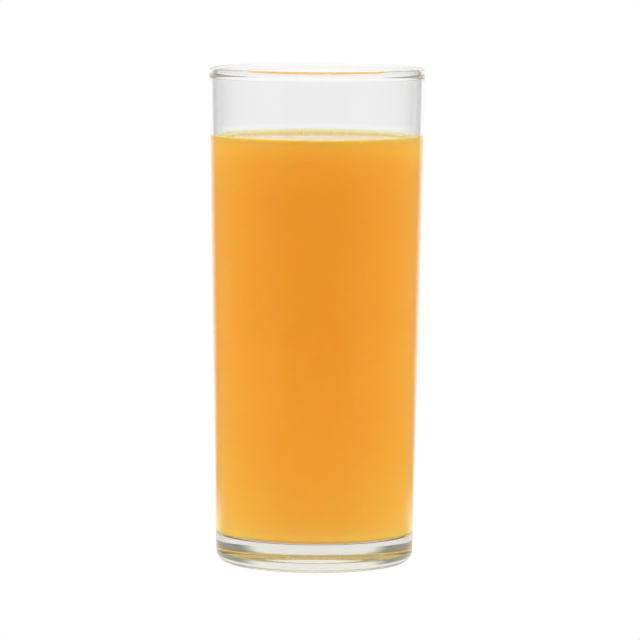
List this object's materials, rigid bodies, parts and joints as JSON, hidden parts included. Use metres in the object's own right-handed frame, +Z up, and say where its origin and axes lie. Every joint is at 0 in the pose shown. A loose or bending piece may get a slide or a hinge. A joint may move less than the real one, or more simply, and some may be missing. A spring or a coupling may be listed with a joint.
{
  "type": "glass of orange juice",
  "caption": "Tall, slightly tapered clear tumbler with a heavy base and a rounded rim, filled with smooth orange juice to below the rim.",
  "frame": {"origin": "centre of the standing ring, on the glass's axis, where it meets the table", "axes": "+Z up along the glass's axis; +X and +Y lie in the plane of the table, the object is round about +Z"},
  "size_m": [0.0612, 0.0612, 0.14],
  "materials": {
    "clear_glass": "smooth, clear, fire-polished rim",
    "orange_juice": "opaque, cloudy, smooth orange drink"
  },
  "bodies": {
    "root": {"glass": "clear_glass", "juice": "orange_juice"}
  },
  "joints": []
}
